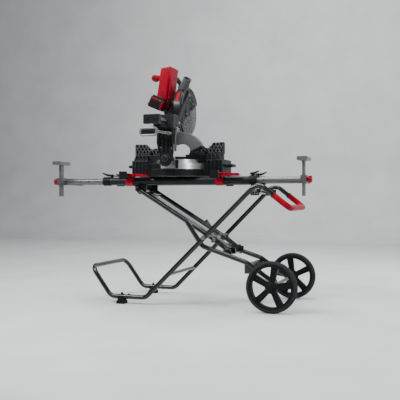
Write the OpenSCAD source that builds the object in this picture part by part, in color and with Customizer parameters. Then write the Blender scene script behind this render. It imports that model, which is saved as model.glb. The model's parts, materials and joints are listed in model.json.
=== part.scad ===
// Mitre saw on a folding two-wheeled stand.
// +X runs along the rails towards the wheels, +Y is the operator's side, +Z is up, and the floor is z = 0.

/* [Rails] */
// Length of the two main rails
rail_len = 1020; // [980:5:1060]
// Outer diameter of a rail
rail_d = 50; // [48:0.5:52]
// Height of the rails' centre lines
rail_z = 771; // [765:1:777]
// Distance between the rails' centre lines
rail_gap = 200; // [190:2:210]
// Diameter of an extension bar
bar_d = 36; // [34:0.5:38]
// How far an extension's end stands out from a rail's end
ext_out = 285; // [240:5:300]

/* [Frames] */
// Diameter of the outer frame's tube
outer_d = 29; // [26:0.5:30]
// Diameter of the inner legs' tube
inner_d = 32; // [30:0.5:33]
// Diameter of the wheel arms' tube
arm_d = 30; // [28:0.5:31]
// Half the outer frame's width at the foot
foot_y = 250; // [244:1:256]
// Half the outer frame's width at the handle
handle_y = 224; // [220:1:230]
// Half the inner legs' spacing
inner_y = 115; // [110:1:118]
// Half the wheel arms' spacing
arm_y = 180; // [176:1:184]

/* [Wheels] */
// Wheel diameter over the tyre
wheel_d = 300; // [290:2:304]
// Tyre width
tyre_w = 45; // [40:1:50]
// Distance of each wheel's middle from the centre plane
wheel_y = 310; // [306:1:314]
// Axle diameter
axle_d = 20; // [16:1:22]

/* [Saw] */
// Place of the saw's centre along the rails
saw_x = -20; // [-26:1:-18]
// Height of the saw's table
table_z = 904; // [900:1:906]
// Blade diameter
blade_d = 305; // [300:1:305]
// Number of blade teeth
teeth = 60; // [40:4:80]
// Distance of each mounting bracket from the saw's centre
bracket_dx = 303; // [301:1:305]

/* [Hidden] */
$fn = 48;
wall = 3;
run = 0.05;            // radial clearance of a shaft in a hole
gap = 0.3;             // clearance between other moving faces
seam = 0.02;           // hair gap between a tube's straights and its bends
rail_r = rail_d / 2;
rail_y = rail_gap / 2;
rail_end = rail_len / 2;
bar_r = bar_d / 2;
outer_r = outer_d / 2;
inner_r = inner_d / 2;
arm_r = arm_d / 2;
// side-view points of the frames, as [x, z]
hinge = [-258, 715];        // inner legs to rails
cross = [222, 422];         // outer frame to inner legs
foot_back = [-394, 44];
foot_front = [-156, 44];
bow_top = [-529, 228];
leg_top = [551.6, 751.7];
handle_end = [742, 602];
leg_bend = [250, 405];
leg_end = [349, 330];
arm_tip = [92, 513];
arm_bend = [190, 367];
arm_low = [471.5, 274.5];
wheel_c = [654, wheel_d / 2];
axle_r = axle_d / 2;
// saw heights and depths
bevel_z = table_z - 1.5;
chop = [-150, 1130];        // chop pivot, as [y, z]
blade_c = [80, 1226];       // blade centre with the head up, as [y, z]
rail2_z = 1127;             // sliding rails of the saw
rail2_x = [-46, 14];
rail2_r = 15;

function unit(v) = v / norm(v);
function side(u) = abs(u[2]) < 0.9 ? unit(cross_v(u, [0, 0, 1])) : unit(cross_v(u, [1, 0, 0]));
function cross_v(a, b) = [a[1]*b[2] - a[2]*b[1], a[2]*b[0] - a[0]*b[2], a[0]*b[1] - a[1]*b[0]];
function turn(a, b, c) = acos(unit(b - a) * unit(c - b));
function reach(pts, i, rb) = i == 0 || i == len(pts) - 1 ? 0
  : rb * tan(turn(pts[i-1], pts[i], pts[i+1]) / 2);
function frame_of(x, y, z, o) = [[x[0], y[0], z[0], o[0]], [x[1], y[1], z[1], o[1]],
  [x[2], y[2], z[2], o[2]], [0, 0, 0, 1]];
function at_y(p, y) = [p[0], y, p[1]];

module ring(ro, ri) { difference() { circle(ro); if (ri > 0) circle(ri); } }

// Straight tube from a to b
module rod(a, b, ro, ri = 0) {
  u = unit(b - a);
  e = side(u);
  multmatrix(frame_of(e, cross_v(u, e), u, a))
    linear_extrude(norm(b - a)) ring(ro, ri);
}

// Tube bent to one radius at each inner point of a route; a seam parts each straight from its bends
module pipe(pts, rb, ro, ri = 0) {
  n = len(pts);
  for (i = [0 : n - 2]) {
    u = unit(pts[i+1] - pts[i]);
    rod(pts[i] + u * (reach(pts, i, rb) + (i > 0 ? seam : 0)),
        pts[i+1] - u * (reach(pts, i + 1, rb) + (i < n - 2 ? seam : 0)), ro, ri);
  }
  for (i = [1 : n - 2]) {
    u = unit(pts[i] - pts[i-1]);
    v = unit(pts[i+1] - pts[i]);
    q = unit(v - u * (u * v));
    s = pts[i] - u * reach(pts, i, rb);
    multmatrix(frame_of(-q, u, cross_v(-q, u), s + q * rb))
      rotate_extrude(angle = turn(pts[i-1], pts[i], pts[i+1]))
        translate([rb, 0]) ring(ro, ri);
  }
}

// Shaft along X or Y, given by its start, length and radius
module x_rod(p, len, ro, ri = 0) { translate(p) rotate([0, 90, 0]) linear_extrude(len) ring(ro, ri); }
module y_rod(p, len, ro, ri = 0) { translate(p) rotate([-90, 0, 0]) linear_extrude(len) ring(ro, ri); }
module block(lo, hi) { translate(lo) cube(hi - lo); }
// Side-view outline (x, z) made into a plate from y0 to y1
module xz_plate(y0, y1) { translate([0, y1, 0]) rotate([90, 0, 0]) linear_extrude(y1 - y0) children(); }
// Outline in (y, z) made into a plate from x0 to x1
module yz_plate(x0, x1) {
  translate([x0, 0, 0]) rotate([90, 0, 90]) linear_extrude(x1 - x0) children();
}
module both_sides() { for (s = [-1, 1]) scale_y(s) children(); }
module scale_y(s) { if (s > 0) children(); else mirror([0, 1, 0]) children(); }
module other_end(flip) { if (flip) mirror([1, 0, 0]) children(); else children(); }

// ---- stand: rails and extensions ----
module rail(y) { color("#2b2c2e") x_rod([-rail_end, y, rail_z], rail_len, rail_r, rail_r - wall); }
module rail_front() { rail(rail_y); }
module rail_rear() { rail(-rail_y); }

collar_len = 40;
lever_x = rail_end - 30;
lever_z = rail_z + 38;
module rail_collars() color("#17181a") {
  for (e = [false, true]) other_end(e) {
    for (s = [-1, 1]) {
      x_rod([rail_end - collar_len, s * rail_y, rail_z], collar_len, rail_r + 4, rail_r);
      x_rod([rail_end, s * rail_y, rail_z], 8, rail_r + 4, bar_r + run);
      difference() {
        block([lever_x - 9, s * 62 - 4, rail_z + 10], [lever_x + 9, s * 62 + 4, lever_z + 9]);
        y_rod([lever_x, s * 62 - 5, lever_z], 10, 4 + run);
      }
    }
    block([rail_end - 34, -rail_y + rail_r + 3.5, rail_z - 12], [rail_end - 8, rail_y - rail_r - 3.5, rail_z + 12]);
  }
}

lug_y = [88, 96];
module hinge_lugs() color("#1c1d1f") both_sides() difference() {
  union() {
    block([hinge[0] - 40, lug_y[0], hinge[1] - 6], [hinge[0] + 40, lug_y[1], rail_z - 12]);
    y_rod([hinge[0], 78, hinge[1]], 18, 29);
  }
  x_rod([hinge[0] - 50, rail_y, rail_z], 100, rail_r);
  y_rod([hinge[0], 70, hinge[1]], 40, 10);
}
module hinge_pin() color("#8b8d90") {
  y_rod([hinge[0], -142, hinge[1]], 284, 10);
  both_sides() y_rod([hinge[0], inner_y + inner_r + 1.5, hinge[1]], 9, 15);
}
pad_bottom = 717.5;
module rest_pads() color("#101112") both_sides() difference() {
  block([482, 84, pad_bottom], [rail_end, 116, rail_z - 20]);
  x_rod([470, rail_y, rail_z], 60, rail_r + 4);
}

ext_end = rail_end + ext_out;
bar_in = 300;
post_y = -150;
post_w = 34;
post_t = 16;
knob_z = rail_z;
module ext_bars(flip) color("#6d6f72") other_end(flip) difference() {
  union() {
    for (s = [-1, 1]) x_rod([bar_in, s * rail_y, rail_z], ext_end - bar_in, bar_r, bar_r - wall);
    block([ext_end, post_y - 28, rail_z - 24], [ext_end + 34, post_y + 30, rail_z + 24]);
    block([ext_end, post_y + 30, rail_z - 22], [ext_end + 8, rail_y + 22, rail_z + 22]);
  }
  block([ext_end + 8, post_y - post_w/2 - gap, rail_z - 40],
        [ext_end + 8 + post_t + 2*gap, post_y + post_w/2 + gap, rail_z + 40]);
  x_rod([ext_end + 20, post_y, knob_z], 30, 5 + run);
  for (s = [-1, 1], k = [0 : 3])
    y_rod([560 + k * 62, s * rail_y - 30, rail_z], 60, 5);
}
module ext_bars_right() { ext_bars(false); }
module ext_bars_left() { ext_bars(true); }

module ext_lever(flip) color("#17181a") other_end(flip) {
  y_rod([lever_x, -114, lever_z], 228, 4);
  for (s = [-1, 1]) xz_plate(s * rail_y - 11, s * rail_y + 11)
    polygon([for (p = [[-6, -4], [-6, 6], [4, 9], [22, 11], [46, 19], [50, 15], [26, 2], [8, -6]])
      [lever_x + p[0], lever_z + p[1]]]);
}
module ext_lever_right() { ext_lever(false); }
module ext_lever_left() { ext_lever(true); }

post_x = ext_end + 8 + gap;
post_low = 673;
head_low = table_z - 24;
module post(flip) color("#b4b6b8") other_end(flip) {
  block([post_x, post_y - post_w/2, post_low], [post_x + post_t, post_y + post_w/2, head_low]);
  xz_plate(post_y - 62, post_y + 62)
    polygon([for (p = [[-24, 6], [-24, 18], [-18, 24], [34, 24], [40, 18], [40, 6], [34, 0], [-18, 0]])
      [post_x + p[0], head_low + p[1]]]);
}
module post_right() { post(false); }
module post_left() { post(true); }

knob_x = ext_end + 34 + gap;
module post_knob(flip) color("#c8102e") other_end(flip) {
  x_rod([ext_end + 25, post_y, knob_z], 12, 5);
  translate([knob_x, post_y, knob_z]) rotate([0, 90, 0]) {
    cylinder(h = 9.5, r = 12);
    translate([0, 0, 9]) difference() {
      cylinder(h = 20, r = 21);
      for (k = [0 : 4]) rotate(k * 72) translate([24, 0, -1]) cylinder(h = 22, r = 7);
    }
  }
}
module post_knob_right() { post_knob(false); }
module post_knob_left() { post_knob(true); }

// ---- brackets that carry the saw ----
chan_z = [804.2, 818];
jaw_in = rail_r + 0.4;
jaw_out = rail_r + 8;
bracket_half = 26;
module bracket(x) color("#151617") translate([x, 0, 0]) {
  block([-bracket_half, -222, chan_z[0]], [bracket_half, 222, chan_z[1]]);
  both_sides() {
    block([-bracket_half, 222, chan_z[0] - 26], [bracket_half, 230, chan_z[1] + 12]);
    block([-bracket_half, 132, chan_z[0] - 10], [-bracket_half + 6, 222, chan_z[0]]);
    block([bracket_half - 6, 132, chan_z[0] - 10], [bracket_half, 222, chan_z[0]]);
  }
}
module bracket_left() { bracket(saw_x - bracket_dx); }
module bracket_right() { bracket(saw_x + bracket_dx); }

cam_x = 38;
cam_y = -rail_y - 45;
cam_z = 808;
ear_top = chan_z[0] - 0.2;
module jaws(x) color("#c8102e") translate([x, 0, 0]) {
  both_sides() difference() {
    union() {
      translate([-24, rail_y, rail_z]) rotate([0, 90, 0]) rotate(-8)
        rotate_extrude(angle = 196) translate([jaw_in, 0]) square([jaw_out - jaw_in, 48]);
      block([-24, rail_y + jaw_out - 3, rail_z - 14], [24, rail_y + jaw_out + 7, ear_top]);
    }
    for (k = [-12, 12]) y_rod([k, rail_y + 20, rail_z + 4], 40, 3.5);
  }
  block([14, cam_y - 24, rail_z + rail_r + 1], [cam_x - 12, cam_y + 24, ear_top]);
  for (s = [-1, 1]) difference() {
    block([bracket_half + gap, cam_y + s * 19 - 4, rail_z + rail_r + 1],
          [cam_x + 9, cam_y + s * 19 + 4, cam_z + 9]);
    y_rod([cam_x, cam_y + s * 19 - 5, cam_z], 10, 5 + run);
  }
}
module jaws_left() { jaws(saw_x - bracket_dx); }
module jaws_right() { jaws(saw_x + bracket_dx); }

module cam_lever(x) color("#c8102e") translate([x, 0, 0]) {
  y_rod([cam_x, cam_y - 24, cam_z], 48, 5);
  xz_plate(cam_y - 14, cam_y + 14)
    polygon([for (p = [[-8, -3], [-8, 8], [8, 10], [46, 8], [96, -1], [102, -6], [98, -9], [46, -8], [0, -8]])
      [cam_x + p[0], cam_z + p[1]]]);
}
module cam_lever_left() { cam_lever(saw_x - bracket_dx); }
module cam_lever_right() { cam_lever(saw_x + bracket_dx); }

// ---- outer frame: foot, legs and handle ----
foot_mid = -269;
grip_start = 645;
function slope_point(x) = [x, leg_top[1] + (handle_end[1] - leg_top[1]) * (x - leg_top[0]) / (handle_end[0] - leg_top[0])];
outer_bend = 58;
bow_bend = 44;
module outer_leg(s) color("#232426") difference() {
  pipe([[foot_mid, s * foot_y, foot_back[1]], at_y(foot_front, s * foot_y), at_y(leg_top, s * handle_y),
        at_y(slope_point(grip_start), s * handle_y)], outer_bend, outer_r, outer_r - wall);
  y_rod([cross[0], s * foot_y - 60, cross[1]], 120, 8 + run);
}
module outer_leg_near() { outer_leg(-1); }
module outer_leg_far() { outer_leg(1); }
module foot_bow() color("#232426")
  pipe([[foot_mid, -foot_y, foot_back[1]], at_y(foot_back, -foot_y), at_y(bow_top, -foot_y),
        at_y(bow_top, foot_y), at_y(foot_back, foot_y), [foot_mid, foot_y, foot_back[1]]],
       outer_bend, outer_r, outer_r - wall);
handle_route = [at_y(slope_point(grip_start), -handle_y), at_y(handle_end, -handle_y),
  at_y(handle_end, handle_y), at_y(slope_point(grip_start), handle_y)];
module handle_bow() color("#232426") pipe(handle_route, bow_bend, outer_r, outer_r - wall);
module handle_grips() color("#c8102e") pipe(handle_route, bow_bend, outer_r + 3.5, outer_r);

low_cross = [-8, 191];
top_cross = [500, 700];
module outer_cross_tubes() color("#232426") {
  y_rod([low_cross[0], -238, low_cross[1]], 476, 11, 8);
  y_rod([top_cross[0], -219, top_cross[1]], 438, 14, 11);
}
module foot_pads() both_sides() {
  color("#131415") difference() {
    union() {
      block([-345, foot_y - 25, 0], [-291, foot_y + 25, 20]);
      block([-340, foot_y - 19, 20], [-296, foot_y + 19, 45]);
    }
    x_rod([-360, foot_y, foot_back[1]], 90, outer_r);
  }
  color("#131415") translate([-318, foot_y, foot_back[1] + outer_r - 2]) {
    cylinder(h = 6, r = 9);
    translate([0, 0, 6]) cylinder(h = 9, r = 6, $fn = 6);
  }
}

// ---- inner frame: legs, wheel arms and axle ----
leg_dir = unit(leg_bend - hinge);
module inner_leg(s) color("#2a2b2d") difference() {
  pipe([at_y(hinge - 24 * leg_dir, s * inner_y), at_y(leg_bend, s * inner_y), at_y(leg_end, s * inner_y)],
       120, inner_r, inner_r - wall);
  y_rod([hinge[0], s * inner_y - 40, hinge[1]], 80, 10 + run);
  y_rod([cross[0], s * inner_y - 40, cross[1]], 80, 8);
}
module inner_leg_near() { inner_leg(-1); }
module inner_leg_far() { inner_leg(1); }
rod_drop = [-4, 2];
module release_rod() color("#9a9c9f")
  pipe([at_y(hinge + 40 * leg_dir + rod_drop, -inner_y + 90), at_y(leg_bend + rod_drop, -inner_y + 90),
        at_y(leg_end - [10, -6], -inner_y + 90)], 120, 9);
module wheel_arm(s) color("#2a2b2d") difference() {
  pipe([at_y(arm_tip, s * arm_y), at_y(arm_bend, s * arm_y), at_y(arm_low, s * arm_y),
        [wheel_c[0] + 12, s * arm_y, wheel_c[1] - 8.2]], 60, arm_r, arm_r - wall);
  y_rod([wheel_c[0], s * arm_y - 40, wheel_c[1]], 80, axle_r);
}
module wheel_arm_near() { wheel_arm(-1); }
module wheel_arm_far() { wheel_arm(1); }

stub = [105.5, 493];
knuckle = [345, 322];
module inner_cross() color("#1a1b1c") {
  both_sides() y_rod([stub[0], inner_y + 12, stub[1]], arm_y - inner_y - 24, 10);
  y_rod([knuckle[0], -arm_y + 6, knuckle[1]], 2 * arm_y - 12, 13);
  y_rod(at_y(hinge + 66 * leg_dir, -inner_y + 12), 2 * inner_y - 24, 9);
  both_sides() {
    y_rod([knuckle[0] - 2, inner_y + 18, knuckle[1] + 2], 14, 24);
    block([knuckle[0] - 46, inner_y - 26, knuckle[1] - 4], [knuckle[0] + 34, inner_y - 18, knuckle[1] + 34]);
    for (k = [-30, 22]) y_rod([knuckle[0] + k, inner_y - 34, knuckle[1] + 22], 8, 8);
  }
  block([arm_low[0] - 16, -arm_y + 10, 206], [arm_low[0] + 16, arm_y - 10, 262]);
}
module pivot_pins() color("#8b8d90") both_sides() {
  y_rod([cross[0], inner_y - 30, cross[1]], 166, 8);
  y_rod([cross[0], 252.5, cross[1]], 10, 13);
}
module axle() color("#8b8d90") {
  y_rod([wheel_c[0], -wheel_y - 27, wheel_c[1]], 2 * wheel_y + 54, axle_r);
  both_sides() y_rod([wheel_c[0], wheel_y + 24.5, wheel_c[1]], 6, 17);
}

hub_w = 46;
tyre_in = wheel_d / 2 - 18;
spoke_first = 8;
module wheel(s) color("#17181a") translate([wheel_c[0], s * wheel_y, wheel_c[1]]) rotate([-90, 0, 0]) difference() {
  union() {
    translate([0, 0, -hub_w/2]) cylinder(h = hub_w, r = 27);
    translate([0, 0, -13]) cylinder(h = 26, r = 36);
    difference() {
      translate([0, 0, -tyre_w/2 + 1]) cylinder(h = tyre_w - 2, r = tyre_in, $fn = 96);
      translate([0, 0, -tyre_w]) cylinder(h = 2 * tyre_w, r = tyre_in - 18, $fn = 96);
    }
    for (k = [0 : 4]) rotate(-spoke_first - 72 * k)
      translate([0, 0, -11]) linear_extrude(22)
        polygon([[28, -16], [tyre_in - 12, -20], [tyre_in - 12, 20], [28, 16]]);
  }
  translate([0, 0, -40]) cylinder(h = 80, r = axle_r + run);
}
module wheel_near() { wheel(-1); }
module wheel_far() { wheel(1); }
module tyre(s) color("#2e3032") translate([wheel_c[0], s * wheel_y, wheel_c[1]]) rotate([-90, 0, 0])
  rotate_extrude($fn = 96) polygon([[tyre_in, -tyre_w/2 + 2], [tyre_in + 8, -tyre_w/2], [tyre_in + 14, -tyre_w/2 + 3],
    [wheel_d/2, -tyre_w/2 + 10], [wheel_d/2, tyre_w/2 - 10], [tyre_in + 14, tyre_w/2 - 3],
    [tyre_in + 8, tyre_w/2], [tyre_in, tyre_w/2 - 2]]);
module tyre_near() { tyre(-1); }
module tyre_far() { tyre(1); }

// ---- saw: base, turntable and fences ----
disc_r = 200;
top_r = 160;
disc_z = [842, 880];
mitre_max = 50;             // the table arm swings this far each way
wing = [310, -74, 112];     // half length, rear edge, front edge
module saw_base() color("#242527") translate([saw_x, 0, 0]) {
  difference() {
    union() {
      translate([0, 0, 800]) cylinder(h = disc_z[0] - gap - 800, r = disc_r + 6, $fn = 96);
      for (s = [-1, 1]) {
        block([min(s * 190, s * 270), wing[1], 800], [max(s * 190, s * 270), wing[2], table_z]);
        block([min(s * 150, s * 270), wing[1], disc_z[1] + gap], [max(s * 150, s * 270), wing[2], table_z]);
        block([min(s * 270, s * wing[0]), wing[1], chan_z[1]], [max(s * 270, s * wing[0]), wing[2], table_z]);
      }
    }
    translate([0, 0, disc_z[0] - gap]) cylinder(h = disc_z[1] - disc_z[0] + 2 * gap, r = disc_r + gap, $fn = 96);
    translate([0, 0, disc_z[1]]) cylinder(h = 60, r = top_r + gap, $fn = 96);
    translate([0, 0, 790]) cylinder(h = 60, r = 25 + run);
    for (s = [-1, 1]) translate([0, 0, disc_z[0] - gap]) linear_extrude(70) rotate(s * mitre_max)
      polygon([[0, 0], [-s * 39, 0], [-s * 39, 360], [0, 360]]);
  }
  for (s = [0, 1]) mirror([s, 0, 0])
    pipe([[300, -40, 868], [352, -40, 868], [352, 78, 868], [300, 78, 868]], 30, 9);
}
module groove() {
  xz_plate(-152, 312) polygon([[-33, table_z + 2], [-30, table_z - 3], [-21, 883], [0, 872],
    [21, 883], [30, table_z - 3], [33, table_z + 2]]);
}
plate_z = table_z - 3;
arm_front = 380;
module turntable() color("#b9bbbd") translate([saw_x, 0, 0]) {
  difference() {
    union() {
      translate([0, 0, disc_z[0]]) cylinder(h = disc_z[1] - disc_z[0], r = disc_r, $fn = 96);
      translate([0, 0, disc_z[1] - 1]) cylinder(h = table_z - disc_z[1] + 1, r = top_r, $fn = 96);
      block([-38, 150, disc_z[0]], [38, arm_front, table_z]);
      block([-45, -222, disc_z[0] + 3], [45, -185, table_z - 4]);
      y_rod([0, -222, bevel_z], 30, 40);
      translate([0, 0, 806]) cylinder(h = 40, r = 25);
    }
    groove();
    block([-30, -154, plate_z - 0.1], [30, 304, table_z + 5]);
    y_rod([0, arm_front - 40, 868], 41, 6 + run);
  }
  y_rod([0, -262, bevel_z], 41, 12);
  y_rod([0, -272, bevel_z], 10, 19);
}
module kerf_plates() color("#c8102e") translate([saw_x, 0, 0])
  for (s = [-1, 1]) block([min(s * 7, s * 29.6), -153, plate_z], [max(s * 7, s * 29.6), 303, table_z - 0.2]);
module mitre_lock() color("#17181a") translate([saw_x, 0, 0]) {
  y_rod([0, arm_front - 30, 868], 32 + gap, 6);
  y_rod([0, arm_front + gap, 868], 14, 15);
  y_rod([0, arm_front + 14, 868], 34, 23);
  for (k = [0 : 5]) translate([0, arm_front + 16, 868]) rotate([0, 60 * k, 0]) y_rod([21, 0, 0], 30, 6);
}

fence_y = [-38, -8];
fence_split = 940;
module fence_base() color("#2d2f31") translate([saw_x, 0, 0]) {
  for (s = [-1, 1]) {
    block([min(s * 50, s * 300), fence_y[0], table_z + gap], [max(s * 50, s * 300), fence_y[1], fence_split]);
    block([min(s * 200, s * 296), wing[1] + 2, table_z - 0.2], [max(s * 200, s * 296), fence_y[0], table_z + 16]);
    for (k = [0 : 3]) block([min(s * (206 + 26 * k), s * (212 + 26 * k)), wing[1] + 2, table_z + 16],
                            [max(s * (206 + 26 * k), s * (212 + 26 * k)), fence_y[0], fence_split - 6]);
  }
  translate([0, fence_y[0] + 2, table_z + gap]) rotate(180)
    rotate_extrude(angle = 180) translate([62, 0]) square([18, 20]);
}
// Half outline of an upper fence, from the inside end to the outside end
fence_line = [[72, 0.5], [72, 26], [84, 44], [168, 46], [196, 40], [232, 73], [300, 75], [305, 70], [305, 0.5]];
module fence_outline() { polygon([for (p = fence_line) [p[0], fence_split + p[1]]]); }
module fence(s) color("#34363a") translate([saw_x, 0, 0]) other_end(s < 0) {
  xz_plate(fence_y[1] - 9, fence_y[1]) fence_outline();
  xz_plate(fence_y[0] + 4, fence_y[1] - 9) intersection() {
    fence_outline();
    union() {
      translate([70, fence_split]) square([240, 7]);
      for (k = [0 : 9]) for (t = [-1, 1])
        translate([84 + 24 * k, fence_split + 22]) rotate(t * 32) square([4, 150], center = true);
      translate([299, fence_split]) square([6, 90]);
    }
  }
}
module fence_left() { fence(-1); }
module fence_right() { fence(1); }

// ---- saw: bevel trunk ----
bush_y = [-290, -208];
bush_x = [-68, 66];
cap_x = [-68, 34];
module bevel_trunk() color("#1d1e20") translate([saw_x, 0, 0]) {
  difference() {
    union() {
      y_rod([0, -252, bevel_z], 252 - 222 - gap, 42);
      xz_plate(-252, -226) polygon([[-36, bevel_z + 12], [-56, 1000], [-58, 1092], [64, 1092], [50, 1000], [38, bevel_z + 12]]);
      for (k = [-1 : 2]) block([-44 + 26 * k + 20, -262, 950], [-39 + 26 * k + 20, -250, 1088]);
      block([52, -284, 990], [60, -214, 1092]);
      block([bush_x[0], bush_y[0], rail2_z - 42], [bush_x[1], bush_y[1], rail2_z + 42]);
    }
    for (x = rail2_x) y_rod([x, bush_y[0] - 5, rail2_z], 120, rail2_r + run);
    y_rod([0, -300, bevel_z], 90, 12 + run);
    y_rod([0, -300, bevel_z], 300 - 252 + 0.01, 20);
  }
}
loop_c = [-84, 1066];
lever_root = [40, 1052];
module bevel_handle() color("#a5a7a9") translate([saw_x, 0, 0]) {
  pipe([at_y(loop_c + [52, 0], -316), at_y(loop_c + [52, -22], -316), at_y(loop_c + [-58, -22], -316),
        at_y(loop_c + [-58, 22], -316), at_y(loop_c + [52, 22], -316), at_y(loop_c + [52, 0], -316)], 18, 7);
  pipe([at_y(loop_c + [54, 0], -316), at_y(lever_root, -308)], 5, 9);
  y_rod([lever_root[0], -320, lever_root[1]], 320 - 284 - gap, 12);
  block([loop_c[0] - 56, -321, loop_c[1] - 20], [loop_c[0] + 50, -311, loop_c[1] + 20]);
}

// ---- saw: sliding head ----
yoke_y = [-200, -166];
cap_y = -440;
module slide_rails() color("#c9cbcd") translate([saw_x, 0, 0])
  for (x = rail2_x) y_rod([x, cap_y + 12, rail2_z], yoke_y[0] - cap_y - 4, rail2_r, rail2_r - 3);
arm_x = [-62, -24];
module head_yoke() color("#1d1e20") translate([saw_x, 0, 0]) {
  difference() {
    union() {
      block([cap_x[0], yoke_y[0], rail2_z - 40], [cap_x[1], yoke_y[1], rail2_z + 40]);
      for (x = [[-90, arm_x[0] - gap], [arm_x[1] + gap, 4]]) {
        block([x[0], yoke_y[0] + 6, chop[1] - 32], [x[1], chop[0], chop[1] + 32]);
        x_rod([x[0], chop[0], chop[1]], x[1] - x[0], 32);
      }
    }
    x_rod([-100, chop[0], chop[1]], 120, 9);
    for (x = rail2_x) y_rod([x, yoke_y[0] - 5, rail2_z], 14, rail2_r);
    x_rod([arm_x[0] - gap, chop[0], chop[1]], arm_x[1] - arm_x[0] + 2 * gap, 34);
  }
  difference() {
    block([cap_x[0], cap_y, rail2_z - 27], [cap_x[1], cap_y + 30, rail2_z + 27]);
    for (x = rail2_x) y_rod([x, cap_y + 12, rail2_z], 30, rail2_r);
  }
  x_rod([-96, chop[0], chop[1]], 106, 9);
}

bl_y = blade_c[0];
bl_z = blade_c[1];
boss_r = 28;
module saw_arm() color("#2a2c2e") translate([saw_x, 0, 0]) difference() {
  union() {
    x_rod([arm_x[0], chop[0], chop[1]], arm_x[1] - arm_x[0], 31);
    yz_plate(-60, -26) hull() {
      translate([chop[0] + 10, chop[1] + 4]) circle(26);
      translate([bl_y, bl_z]) circle(52);
      translate([bl_y - 20, bl_z + 30]) circle(40);
    }
    x_rod([-60, bl_y, bl_z], 49, boss_r);
    x_rod([-130, bl_y - 6, bl_z + 18], 72, 42);
  }
  x_rod([-80, chop[0], chop[1]], 90, 9 + run);
  x_rod([-56, bl_y, bl_z], 60, 8 + run);
}

function arc(r, a0, a1, n = 40) = [for (k = [0 : n]) let (a = a0 + (a1 - a0) * k / n) [r * cos(a), r * sin(a)]];
// Hollow sector shell round the blade's axis, with side walls
module shell(ro, t, x0, x1, a0, a1, hole, far_hole) {
  translate([0, bl_y, bl_z]) difference() {
    rotate([0, 90, 0]) rotate([0, 0, 90 + a0]) rotate_extrude(angle = a1 - a0, $fn = 96)
      difference() {
        translate([0, x0]) square([ro, x1 - x0]);
        translate([-1, x0 + t]) square([ro - t + 1, x1 - x0 - 2 * t]);
      }
    x_rod([x0 - 1, 0, 0], t + 2, hole);
    x_rod([x1 - t - 1, 0, 0], t + 2, far_hole);
  }
}
module upper_guard() color("#4b4d50") translate([saw_x, 0, 0])
  shell(167, 3, -24, 38, 25, 212, boss_r, 20);
module lower_guard() color([0.82, 0.85, 0.86, 0.5]) translate([saw_x, 0, 0]) union() {
  shell(161, 2.5, -19, 24, 200, 384, boss_r + run, 26);
  translate([0, bl_y, bl_z]) x_rod([-19.6, 0, 0], 3.5, 40, boss_r + run);
}
blade_r = blade_d / 2;
module blade() color("#a9acb0") translate([saw_x, bl_y, bl_z]) rotate([90, 0, 90]) translate([0, 0, -1.2])
  linear_extrude(2.4) difference() {
    polygon([for (k = [0 : teeth - 1], j = [0 : 2])
      let (a = 360 * (k + [0, 0.12, 0.55][j]) / teeth, r = blade_r - [0, 7, 9][j]) [r * cos(a), r * sin(a)]]);
    circle(8);
  }
module arbor() color("#8b8d90") translate([saw_x, bl_y, bl_z]) {
  x_rod([-55, 0, 0], 66, 8);
  difference() { x_rod([-10, 0, 0], 8.8, 24); x_rod([-11, 0, 0], 20, 8); }
  difference() { x_rod([1.2, 0, 0], 7, 24); x_rod([0, 0, 0], 20, 8); }
  translate([11, 0, 0]) rotate([0, 90, 0]) cylinder(h = 6, r = 11, $fn = 6);
}

motor_outline = [[-80, 1226], [-130, 1238], [-144, 1290], [-142, 1336], [-130, 1400], [-122, 1460], [-116, 1504],
  [-44, 1512], [-36, 1500], [-44, 1460], [-57, 1400], [-71, 1336]];
module motor_housing() color("#cf1530") translate([saw_x, 0, 0]) {
  xz_plate(-50, 62) polygon(motor_outline);
  xz_plate(-66, 78) offset(delta = -16) polygon(motor_outline);
}
battery_tilt = 24;
module battery() color("#1a1b1d") translate([saw_x - 114, -68.5, 1268]) rotate([0, battery_tilt, 0])
  translate([-46, -78, -40]) {
    cube([92, 76, 72]);
    translate([8, 4, 72]) cube([76, 68, 10]);
  }
grip_r = 15;
module trigger_handle() color("#17181a") translate([saw_x, 0, 0]) difference() {
  pipe([[-96, 70, 1330], [-96, 190, 1330], [-96, 262, 1376], [-96, 262, 1446], [-96, 190, 1470], [-96, 70, 1440]],
       30, grip_r);
  block([-108, 240, 1404], [-84, 256, 1434]);
}
module trigger() color("#c8102e") translate([saw_x, 0, 0])
  block([-106, 233, 1406], [-86, 246, 1432]);
port_dir = unit([46, -30, 66]);
function port(t) = [24, 6, 1386] + t * port_dir;
module dust_spigot() color("#5a5c5f") translate([saw_x, 0, 0]) {
  rod(port(16), port(58), 27, 24);
  difference() {
    rod(port(-31), port(16), 30);
    x_rod([-40, bl_y, bl_z], 100, 165);
  }
}

rail_front();
rail_rear();
rail_collars();
hinge_lugs();
hinge_pin();
rest_pads();
ext_bars_right();
ext_bars_left();
ext_lever_right();
ext_lever_left();
post_right();
post_left();
post_knob_right();
post_knob_left();
bracket_left();
bracket_right();
jaws_left();
jaws_right();
cam_lever_left();
cam_lever_right();
outer_leg_near();
outer_leg_far();
foot_bow();
handle_bow();
outer_cross_tubes();
handle_grips();
foot_pads();
inner_leg_near();
inner_leg_far();
release_rod();
wheel_arm_near();
wheel_arm_far();
inner_cross();
pivot_pins();
axle();
wheel_near();
wheel_far();
tyre_near();
tyre_far();
saw_base();
turntable();
kerf_plates();
mitre_lock();
fence_base();
fence_left();
fence_right();
bevel_trunk();
bevel_handle();
slide_rails();
head_yoke();
saw_arm();
upper_guard();
lower_guard();
blade();
arbor();
motor_housing();
battery();
trigger_handle();
trigger();
dust_spigot();
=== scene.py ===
"""Looks of the mitre saw on its folding stand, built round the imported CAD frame."""
import json
import math

import bmesh
import bpy
from mathutils import Matrix, Vector


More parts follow.
